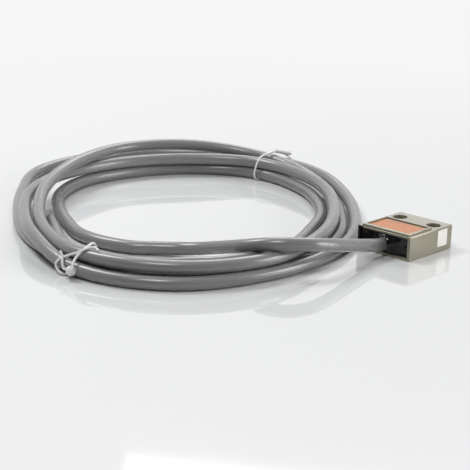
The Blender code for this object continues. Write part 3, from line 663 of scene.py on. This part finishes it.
@dataclass
class CoiledCable:
    """The cable: out of the resin, over the coil's edge, and four turns to its cut end.

    Attributes:
        diameter: Outer diameter.
        centre: Middle of the coil on the floor, in metres.
        turned: Bearing that lies along +X, in degrees.
        facets: Facets round it.
        lead: Points of the lead in millimetres.
        first: Bearing of the first even station along the turns, in degrees.
        step: Degrees from one even station to the next.
        even: Reach and height in millimetres of the even stations.
        uneven: Bearing in degrees, reach and height of the stations between them.
    """

    diameter: float = 0.008
    centre: tuple[float, ...] = (-0.1357, -0.0535, 0.0)
    turned: float = 41.5
    facets: int = 28
    lead: tuple = (
        (0, -18, 7), (0, -22.5, 7.1), (0, -28, 7.7), (0, -38, 9.5), (0, -52, 12.4), (0, -64, 15), (-0.3, -75, 17.3),
        (-2.8, -88, 19.6), (-10.5, -99.6, 20.5), (-21.5, -107, 19.4), (-34, -110.2, 16.4), (-46, -110, 13),
        (-59, -109.2, 9.4), (-71.5, -110.4, 6.3), (-83.2, -114.6, 4.6),
    )
    first: float = 112.5
    step: float = 22.5
    even: tuple = (
        (84.5, 4.2), (84, 4.2), (79, 4.2), (81.3, 4.2), (92.3, 4.2), (103.5, 4.2), (111, 4.2), (119, 4.2),
        (120, 4.2), (106.5, 4.2), (94, 4.2), (87.5, 4.2), (86, 4.2), (95.5, 4.8), (121.5, 11.2), (131, 10.6),
        (130.5, 4.9), (117, 4.2), (108.5, 4.2), (107.5, 4.2), (120, 4.2), (146.5, 4.2), (155, 5.8), (151.5, 7.6),
        (139, 10), (127, 10), (115, 6.8), (109.5, 4.8), (113.5, 4.2), (122, 4.2), (134, 4.2), (147, 4.2),
        (141, 4.8), (122, 11.5), (106, 12.5), (101.5, 12.5), (102, 12.5), (105, 12.3), (110, 12.2), (116, 12),
        (120, 12), (109.8, 12), (100.3, 12), (95.3, 12), (100, 12), (113, 12.2), (132.5, 12.2), (141.5, 12.2),
        (135, 12.2), (113, 12.5), (97.5, 14.5), (91.5, 17), (93.5, 18.5), (103, 20), (120, 20), (126.5, 19.5),
        (130.5, 14), (118, 9.5), (106.5, 4.4), (100.3, 4.2), (105, 4.2), (113.5, 4.2), (114.8, 4.1), (120.8, 4.2),
        (121, 4.2), (102, 4.2),
    )
    uneven: tuple = (
        (101.2, 81, 4.2), (416.25, 108.5, 10), (421.875, 115.6, 11.9), (438.75, 127, 10.4), (461.25, 131.5, 8),
        (1496.25, 114.2, 4.1), (1518.75, 117, 4.2), (1590, 91.5, 4.2), (1602, 88.3, 4.2),
    )

    def spot(self, bearing: float, reach: float, height: float) -> Vector:
        """Place at a bearing, reach and height.

        Args:
            bearing: Degrees, clockwise from above.
            reach: Millimetres from the coil's middle.
            height: Millimetres above the floor.

        Returns:
            The place in metres.
        """
        angle = math.radians(bearing - self.turned)
        flat = Vector((reach * math.cos(angle), -reach * math.sin(angle), height))
        return Vector(self.centre) + flat * MM

    def route(self) -> list[Vector]:
        """Centreline from the resin to the cut end.

        Returns:
            Points in metres.
        """
        start = [Vector(p) * MM for p in self.lead]
        even = [(self.first + self.step * number, *place) for number, place in enumerate(self.even)]
        wound = [self.spot(*station) for station in smooth_route(sorted([*even, *self.uneven]), ROUTE_STEPS)]
        return smooth_route([*start, wound[0]], ROUTE_STEPS)[:-1] + wound

    def build(self, maker: PieceMaker) -> Object:
        """Make the cable.

        Args:
            maker: Maker of pieces.

        Returns:
            The cable's piece.
        """
        cable = maker.sweep("cable", self.route(), self.diameter / 2, self.facets, Look.SHEATH)
        return maker.settle(cable, Slot.SHEATH, "cord_lead", "cord_coil")

    def declare(self, others: list[Object]) -> None:
        """Work out the cable's route, and nothing more.

        Args:
            others: Pieces on it; not used.
        """
        route = self.route()


@dataclass
class WireTie:
    """A covered wire that ties the turns together.

    Attributes:
        name: Name of the piece.
        node: CAD node that it replaces.
        knot: How its ends are closed.
        knot_from: Station where the knot starts.
        knot_to: Station where the knot ends.
        loop: Bearing in degrees, reach and height in millimetres of the rest of the wire.
        before: Stations of the wire's other end, before the knot.
        radius: Radius of the covered wire.
        facets: Facets round it.
    """

    name: str
    node: str
    knot: Knot
    knot_from: tuple[float, ...]
    knot_to: tuple[float, ...]
    loop: tuple
    before: tuple = ()
    radius: float = 0.00075
    facets: int = 12

    def helix(self, start: Vector, end: Vector, turns: float, reach: float, phase: float) -> list[Vector]:
        """Wind round the line from start to end.

        Args:
            start: Start of the axis.
            end: End of the axis.
            turns: Number of turns.
            reach: Greatest distance from the axis.
            phase: Angle at the start in radians.

        Returns:
            Points of the winding.
        """
        axis = end - start
        side = axis.cross(Vector((0, 0, 1))).normalized()
        up = side.cross(axis).normalized()
        points = []
        steps = round(turns * HELIX_STEPS)
        for step in range(steps + 1):
            t = step / steps
            # A ball's turns draw in towards both ends
            width = reach * (math.sin(math.pi * (0.18 + 0.64 * t)) if self.knot is Knot.BALL else 1.0)
            angle = phase + 2 * math.pi * turns * t
            points.append(start + axis * t + (side * math.cos(angle) + up * math.sin(angle)) * width)
        return points

    def route(self, cable: CoiledCable) -> list[Vector]:
        """Centreline of the wire.

        Args:
            cable: Cable whose turns it ties.

        Returns:
            Points in metres.
        """
        start, end = cable.spot(*self.knot_from), cable.spot(*self.knot_to)
        loop = [cable.spot(*station) for station in self.loop]
        if self.knot is Knot.BALL:
            before = [cable.spot(*station) for station in self.before]
            ball = self.helix(start, end, turns=3.5, reach=2.3 * MM, phase=2.2)
            return smooth_route(before + ball + loop, TIE_STEPS)
        first, second = (self.helix(start, end, turns=3.0, reach=0.85 * MM, phase=p) for p in (0.0, math.pi))
        return smooth_route(first[::-1] + loop + second, TIE_STEPS)

    def build(self, maker: PieceMaker, cable: CoiledCable) -> Object:
        """Make the tie.

        Args:
            maker: Maker of pieces.
            cable: Cable whose turns it ties.

        Returns:
            The tie's piece.
        """
        tie = maker.sweep(self.name, self.route(cable), self.radius, self.facets, Look.TIE)
        return maker.settle(tie, Slot.TIE, self.node)


TIES = (
    # Front left: the end is rolled into a ball against the outer turn
    WireTie(
        name="front_wire_tie",
        node="tie_front",
        knot=Knot.BALL,
        before=((119, 138.6, 13.4), (118, 139.8, 10.9), (117.1, 143, 7.4), (116.4, 143.8, 5)),
        knot_from=(115, 146.2, 5.4),
        knot_to=(113.3, 146.2, 5.4),
        loop=(
            (113.8, 146, 8.4), (113.9, 141.4, 12.2), (113.1, 137.8, 15.4), (112.5, 133.5, 17.3), (112.6, 127, 17.4),
            (113, 122.4, 14.6), (113.2, 121.4, 11.4), (113.5, 123.4, 6.8), (113.8, 125.2, 3), (114.3, 129, 1),
            (115.6, 136, 0.9), (117.2, 141.6, 1.1), (118.8, 141.4, 2.8), (119.6, 140.8, 5.6), (119, 140.2, 8.5),
            (117.5, 139.4, 10.8), (115.7, 139, 12.8), (113.7, 139.2, 14.8), (112, 136.6, 17.1), (110.4, 134.6, 17.5),
            (108.9, 137.2, 16.8),
        ),
    ),
    # Rear right: the ends are twisted together on top
    WireTie(
        name="rear_wire_tie",
        node="tie_rear",
        knot=Knot.TWIST,
        knot_from=(297, 130.5, 19.6),
        knot_to=(300, 141, 16.6),
        loop=(
            (295.4, 124, 18.1), (294.4, 119.4, 16.8), (293.8, 116, 13), (293.3, 114.8, 8.4), (293.2, 114, 4.4),
            (293.6, 116.2, 1.1), (296, 124, 0.9), (299, 133, 3.4), (300.4, 140, 5.6), (300.4, 143.4, 10),
            (299, 139.8, 15.2), (298, 134.5, 17.8),
        ),
    ),
)


@dataclass
class ResinFill:
    """The resin that closes the case: it climbs the cable and the walls a little.

    Attributes:
        face: Place of its flat surface along Y, in millimetres.
        back: Place of its inner end.
        half_width: Half of the pocket's width.
        low: Bottom of the pocket.
        high: Top of the pocket.
        corner: Radius of the pocket's corners.
        cable_height: Height of the cable's middle.
        bore: Radius of the hole that the cable fills.
        steps: Points round the surface.
        rings: Rings from the cable to the wall.
    """

    face: float = -20.3
    back: float = -12.95
    half_width: float = 17.68
    low: float = 1.82
    high: float = 13.78
    corner: float = 1.2
    cable_height: float = 7.1
    bore: float = 3.9
    steps: int = 144
    rings: int = 30

    def wall(self, angle: float) -> tuple[float, float]:
        """Find the pocket's rounded wall in a direction from the cable's middle.

        Args:
            angle: The direction in radians.

        Returns:
            Millimetres across and up from the cable's middle.
        """
        c, s = math.cos(angle), math.sin(angle)
        reach = 50.0
        for _ in range(40):
            x, z = c * reach, s * reach
            middle = (self.high + self.low) / 2 - self.cable_height
            over_x = abs(x) - (self.half_width - self.corner)
            over_z = abs(z - middle) - ((self.high - self.low) / 2 - self.corner)
            gap = math.hypot(max(over_x, 0.0), max(over_z, 0.0)) + min(max(over_x, over_z), 0.0) - self.corner
            reach -= gap * 0.9
        return c * reach, s * reach

    def rise(self, x: float, z: float, to_cable: float, to_wall: float) -> float:
        """How far the surface stands out at a point.

        Args:
            x: Place across, from the cable's middle.
            z: Place up, from the cable's middle.
            to_cable: Distance to the cable.
            to_wall: Distance to the wall.

        Returns:
            Millimetres towards the cable's free end.
        """
        climb = 3.1 * math.exp(-to_cable / 1.7) * (1.0 + 0.12 * math.sin(3 * math.atan2(z, x) + 0.6))
        rim = 0.55 * math.exp(-to_wall / 0.9)
        drop = 1.0 * math.exp(-(((x + 0.4) / 1.1) ** 2) - ((z - 5.2) / 0.8) ** 2)
        waves = 0.06 * math.sin(0.9 * x + 0.4) * math.cos(0.7 * z) + 0.05 * math.sin(0.45 * x - 1.1 * z)
        return climb + rim + drop + waves

    def spot(self, angle: float, share: float, y: float | None) -> Vector:
        """Point of the resin at a share of the way from the cable to the wall.

        Args:
            angle: Direction from the cable's middle in radians.
            share: 0 at the cable and 1 at the wall.
            y: Place along Y in millimetres, None for the open surface.

        Returns:
            The point in metres.
        """
        far = self.wall(angle)
        near = (math.cos(angle) * self.bore, math.sin(angle) * self.bore)
        x, z = (n + (f - n) * share for n, f in zip(near, far))
        if y is None:
            span = math.hypot(far[0] - near[0], far[1] - near[1])
            to_wall = min((1 - share) * span, self.half_width - abs(x), self.high - self.cable_height - z,
                          z + self.cable_height - self.low)
            y = self.face - self.rise(x, z, max(math.hypot(x, z) - 4.0, 0.0), max(to_wall, 0.0))
        return Vector((x, y, z + self.cable_height)) * MM

    def build(self, maker: PieceMaker) -> Object:
        """Make the resin.

        Args:
            maker: Maker of pieces.

        Returns:
            The resin's piece.
        """
        surface = [((i / self.rings) ** 1.5, None) for i in range(self.rings + 1)]
        points, loops = [], []
        for share, y in [(0.0, self.back), *surface, (1.0, self.back)]:
            loops.append(range(len(points), len(points) + self.steps))
            points += [self.spot(2 * math.pi * step / self.steps, share, y) for step in range(self.steps)]
        resin = maker.shell("resin_fill", points, bands([*loops, loops[0]]), Look.RESIN)
        return maker.settle(resin, Slot.RESIN, "potting_compound")


@dataclass
class Sticker:
    """The blank paper sticker on the narrow side.

    Attributes:
        wall: Place of the case's side along X, in millimetres.
        start: Near and low corner in Y and Z.
        end: Far and high corner in Y and Z.
        glue: Height of its back above the wall.
        thickness: Height of its face above the wall.
        corner: Radius of its corners.
        steps: Points round it.
        rings: Rings from its middle to its edge.
    """

    wall: float = 19.8
    start: tuple[float, float] = (6.6, 3.4)
    end: tuple[float, float] = (16.6, 13.9)
    glue: float = 0.02
    thickness: float = 0.16
    corner: float = 0.7
    steps: int = 72
    rings: int = 10

    def edge(self, angle: float) -> list[float]:
        """Find the paper's edge in a direction from its middle.

        Args:
            angle: The direction in radians.

        Returns:
            Millimetres in Y and Z from its middle.
        """
        way = (math.cos(angle), math.sin(angle))
        half = [(b - a) / 2 for a, b in zip(self.start, self.end)]
        reach = min(h / max(abs(w), 1e-6) for h, w in zip(half, way))
        straight = [h - self.corner for h in half]
        over = [max(abs(w * reach) - s, 0.0) for w, s in zip(way, straight)]
        if min(over) == 0:
            return [w * reach for w in way]
        share = self.corner / math.hypot(*over)
        return [math.copysign(s + o * share, w) for s, o, w in zip(straight, over, way)]

    def build(self, maker: PieceMaker) -> Object:
        """Make the sticker: flat at its back, and its face faintly wavy and lifted at the edge.

        Args:
            maker: Maker of pieces.

        Returns:
            The sticker's piece.
        """
        middle = [(a + b) / 2 for a, b in zip(self.start, self.end)]
        out = range(1, self.rings + 1)
        points, loops = [], []
        for ring, is_face in [(ring, False) for ring in out] + [(ring, True) for ring in reversed(out)]:
            loops.append(range(len(points), len(points) + self.steps))
            for step in range(self.steps):
                y, z = (v * ring / self.rings for v in self.edge(2 * math.pi * step / self.steps))
                wave = 0.03 * math.sin(1.1 * y + 0.5) * math.sin(0.8 * z)
                wave += 0.05 * (ring / self.rings) ** 6 * math.sin(0.5 * y + z)
                height = self.thickness + max(wave, -0.05) if is_face else self.glue
                points.append(Vector((self.wall + height, middle[0] + y, middle[1] + z)) * MM)
        faces = bands(loops)
        for loop, height in ((loops[0], self.glue), (loops[-1], self.thickness)):
            faces += [(len(points), loop[i - 1], loop[i]) for i in range(self.steps)]
            points.append(Vector((self.wall + height, *middle)) * MM)
        sticker = maker.shell("paper_sticker", points, faces, Look.PAPER)
        return maker.settle(sticker, Slot.LABEL, "side_label")


@dataclass
class CastCase:
    """The casting, with the small round edges that casting and tumbling leave.

    Attributes:
        edge: Width of the rounded edges.
        sharp: Least angle of an edge that is rounded, in degrees.
        narrow: Faces narrower than this are parts of a curve and shaded smooth.
    """

    edge: float = 0.00055
    sharp: float = 35.0
    narrow: float = 0.0007

    def build(self, maker: PieceMaker) -> Object:
        """Round a merged copy of the casting.

        Args:
            maker: Maker of pieces.

        Returns:
            The casting's piece.
        """
        mesh = maker.merged("housing", Look.CAST, flat=0.5)
        mesh.polygons.foreach_set("use_smooth", [True] * len(mesh.polygons))
        carrier = put("cast_case_work", mesh)
        bevel = carrier.modifiers.new("Edges", "BEVEL")
        bevel.width = self.edge
        bevel.segments = 3
        bevel.limit_method = "ANGLE"
        bevel.angle_limit = math.radians(self.sharp)
        case = maker.plain("cast_case", carrier)
        for face in case.data.polygons:
            corners = [case.data.vertices[i].co for i in face.vertices]
            around = sum((b - a).length for a, b in zip(corners, corners[1:] + corners[:1]))
            face.use_smooth = 2 * face.area / around < self.narrow
        return maker.settle(case, Slot.METAL, "housing")


@dataclass
class SteelSpring:
    """Wire spring, which the plunger's press shortens; the piece is a plain copy at rest.

    Attributes:
        name: Name of the piece.
        node: CAD node that it replaces.
        body: Body that its fixed end rides on.
        fixed_end: Place of the fixed end along Y, in metres; not used.
        keep: Share of its length that is left with the plunger fully pressed; not used.
    """

    name: str
    node: str
    body: Body
    fixed_end: float
    keep: float

    def build(self, maker: PieceMaker) -> Object:
        """Merge a copy of the spring and let it ride on its body.

        Args:
            maker: Maker of pieces.

        Returns:
            The spring's piece.
        """
        piece = put(self.name, maker.merged(self.node, Look.STEEL))
        maker.settle(piece, Slot.STEEL, self.node, body=self.body)
        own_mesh(piece)
        return piece


@dataclass
class CutEnd:
    """What the cable's cut end shows: three cores, each with its bunch of strands.

    Attributes:
        core: Radius of a core.
        spread: Distance of the cores from the cable's middle.
        proud: How far the cores stand out of the cut.
        sunk: How far they reach into the cable.
        strands: Strands in a core.
        bunch: Share of a core's radius that its strands fill.
        strand: Radius and length of a strand.
    """

    core: float = 0.00125
    spread: float = 0.0016
    proud: float = 0.0004
    sunk: float = 0.003
    strands: int = 19
    bunch: float = 0.62
    strand: tuple[float, float] = (0.00012, 0.0006)

    def strand_tree(self) -> tuple[NodeTree, dict[str, str]]:
        """Build the tree that stands a short strand on each point.

        Returns:
            The tree, and the identifier of each input by its name.
        """
        tree, ids = piece_tree("strand_bunch", Spots="NodeSocketGeometry", Strand="NodeSocketFloat",
                               Length="NodeSocketFloat", Finish="NodeSocketMaterial")
        start = add(tree, "NodeGroupInput").outputs
        sizes = {"Vertices": 8, "Radius": start["Strand"], "Depth": start["Length"]}
        strand = add(tree, "GeometryNodeMeshCylinder", sizes).outputs["Mesh"]
        placed = add(tree, "GeometryNodeInstanceOnPoints", {"Points": start["Spots"], "Instance": strand})
        real = add(tree, "GeometryNodeRealizeInstances", {0: placed.outputs[0]})
        dressed = add(tree, "GeometryNodeSetMaterial", {"Geometry": real.outputs[0], "Material": start["Finish"]})
        add(tree, "NodeGroupOutput", {0: dressed.outputs[0]})
        return tree, ids

    def build(self, maker: PieceMaker, route: Sequence[Vector]) -> list[Object]:
        """Make the cores and strands at the end of the cable.

        Args:
            maker: Maker of pieces.
            route: The cable's centreline.

        Returns:
            The pieces.
        """
        end, back = Vector(route[-1]), Vector(route[-2])
        turn = (end - back).to_track_quat("Z", "Y").to_matrix().to_4x4()
        bunches = self.strand_tree()
        values = {"Strand": self.strand[0], "Length": self.strand[1], "Finish": maker.looks[Look.STRAND]}
        # A sunflower's spiral spreads the strands evenly over the core
        spots = []
        for number in range(self.strands):
            reach = self.core * self.bunch * math.sqrt((number + 0.5) / self.strands)
            angle = number * GOLDEN_ANGLE
            spots.append((reach * math.cos(angle), reach * math.sin(angle), 0.0))
        made = []
        for number, look in enumerate((Look.RED, Look.BLACK, Look.WHITE)):
            name = look.name.lower()
            angle = 2 * math.pi * number / 3 + 0.4
            middle = Vector((math.cos(angle) * self.spread, math.sin(angle) * self.spread, 0.0))
            to_place = Matrix.Translation(end) @ turn @ Matrix.Translation(middle)
            ends = [to_place @ Vector((0, 0, -self.sunk)), to_place @ Vector((0, 0, self.proud))]
            core = maker.sweep("cut_core_" + name, ends, self.core, 24, look)
            made.append(maker.settle(core, Slot.INSULATION))
            carrier = put("strands_" + name, bpy.data.meshes.new("strands_" + name))
            carrier.data.from_pydata(spots, [], [])
            bunch = maker.grown("cut_strands_" + name, carrier, bunches, values)
            bunch.data.transform(to_place @ Matrix.Translation((0, 0, self.proud)))
            made.append(maker.settle(bunch, Slot.STRAND))
        return made


@dataclass
class Studio:
    """White glossy floor, pale surroundings and soft lamps.

    Attributes:
        floor_colour: sRGB colour of the floor.
        backdrop: sRGB colour of the surroundings.
        aim: Point that the lamps face.
        reach: Half of the floor's side.
        lamps: Name, place, side in metres and power in watts of each lamp.
    """

    floor_colour: str = "#e6e7e8"
    backdrop: str = "#f6f6f6"
    aim: tuple[float, ...] = (-0.1, -0.03, 0.0)
    reach: float = 8.0
    lamps: tuple = (
        ("left_softbox", (-0.78, -0.25, 1.05), 0.45, 7.0),
        ("front_softbox", (0.18, -0.77, 1.15), 0.4, 5.5),
        ("rear_softbox", (-0.74, 1.0, 1.2), 0.9, 9.5),
        ("right_softbox", (1.3, 0.85, 0.45), 0.8, 13.5),
    )

    def build(self) -> None:
        """Make the floor, the world and the lamps."""
        self.floor()
        self.world()
        for name, place, size, power in self.lamps:
            light = bpy.data.lights.new(name, "AREA")
            light.size = size
            light.energy = power
            lamp = put(name, light)
            lamp.visible_camera = False
            lamp.location = place
            lamp.rotation_euler = (Vector(place) - Vector(self.aim)).to_track_quat("Z", "Y").to_euler()

    def floor(self) -> None:
        """Make the glossy white sheet that the switch lies on."""
        made = bpy.data.materials.new("white_acrylic_sheet")
        made.use_nodes = True
        tree = made.node_tree
        tree.nodes.clear()
        place = add(tree, "ShaderNodeTexCoord").outputs["Object"]
        haze = add(tree, "ShaderNodeTexNoise", {"Vector": place, "Scale": per_metre(60.0), "Detail": 2.0})
        rough = add(tree, "ShaderNodeMapRange", {0: haze.outputs[0], 3: 0.04, 4: 0.07})
        gloss = {"Base Color": linear(self.floor_colour), "Roughness": rough.outputs[0], "IOR": 1.75}
        shader = add(tree, "ShaderNodeBsdfPrincipled", gloss)
        # Far from the switch the camera sees the floor fade into the backdrop
        far = add(tree, "ShaderNodeVectorMath", {0: place, 1: (-0.12, -0.03, 0.0)}, operation="DISTANCE")
        fade = add(tree, "ShaderNodeMapRange", {0: far.outputs["Value"], 1: 0.16, 2: 0.6})
        seen = add(tree, "ShaderNodeLightPath").outputs["Is Camera Ray"]
        share = add(tree, "ShaderNodeMath", {0: fade.outputs[0], 1: seen}, operation="MULTIPLY")
        pale = add(tree, "ShaderNodeEmission", {0: linear(self.backdrop), 1: 1.0})
        mixed = add(tree, "ShaderNodeMixShader", {0: share.outputs[0], 1: shader.outputs[0], 2: pale.outputs[0]})
        add(tree, "ShaderNodeOutputMaterial", {0: mixed.outputs[0]})
        mesh = bpy.data.meshes.new("floor")
        corners = [(x * self.reach, y * self.reach, 0) for x, y in ((-1, -1), (1, -1), (1, 1), (-1, 1))]
        mesh.from_pydata(corners, [], [(0, 1, 2, 3)])
        mesh.materials.append(made)
        put("floor", mesh)

    def world(self) -> None:
        """Light from all round, and the pale background that the camera and gloss see."""
        world = bpy.data.worlds.new("studio")
        world.use_nodes = True
        bpy.context.scene.world = world
        tree = world.node_tree
        tree.nodes.clear()
        paths = add(tree, "ShaderNodeLightPath").outputs
        camera, *others = (paths[f"Is {ray} Ray"] for ray in ("Camera", "Glossy", "Transmission"))
        seen = camera
        for ray in others:
            seen = add(tree, "ShaderNodeMath", {0: seen, 1: ray}, operation="MAXIMUM").outputs[0]
        soft = add(tree, "ShaderNodeBackground", {0: (1.0, 1.0, 1.0, 1.0), 1: 0.16})
        # The room behind the camera is dim, so gloss that faces it shows less of the pale backdrop
        way = add(tree, "ShaderNodeTexCoord").outputs["Generated"]
        depth = add(tree, "ShaderNodeVectorMath", {0: way, 1: (-0.66, 0.75, 0.0)}, operation="DOT_PRODUCT")
        dim = add(tree, "ShaderNodeMapRange", {0: depth.outputs["Value"], 1: -0.6, 2: 0.35, 3: 0.1, 4: 1.0})
        bright = add(tree, "ShaderNodeMath", {0: dim.outputs[0], 1: camera}, operation="MAXIMUM")
        pale = add(tree, "ShaderNodeBackground", {0: linear(self.backdrop), 1: bright.outputs[0]})
        mixed = add(tree, "ShaderNodeMixShader", {0: seen, 1: soft.outputs[0], 2: pale.outputs[0]})
        add(tree, "ShaderNodeOutputWorld", {0: mixed.outputs[0]})


def main() -> None:
    """Build the camera, the pieces and the studio."""
    logging.basicConfig(level=logging.INFO, format="%(message)s")
    bpy.context.scene.view_settings.view_transform = "Standard"
    PhotoCamera().build()
    maker = PieceMaker()
    cable = CoiledCable()
    cord = cable.build(maker)
    maker.dress_frame()
    ties = [tie.build(maker, cable) for tie in TIES]
    cable.declare(ties + CutEnd().build(maker, cable.route()))
    for part in (
        ResinFill(),
        Sticker(),
        CastCase(),
        SteelSpring("return_coil", "return_spring", Body.CASE, fixed_end=0.0022, keep=0.285),
        SteelSpring("overtravel_coil", "overtravel_spring", Body.PLUNGER, fixed_end=0.02, keep=0.57),
    ):
        part.build(maker)
    Studio().build()


if __name__ == "__main__":
    main()
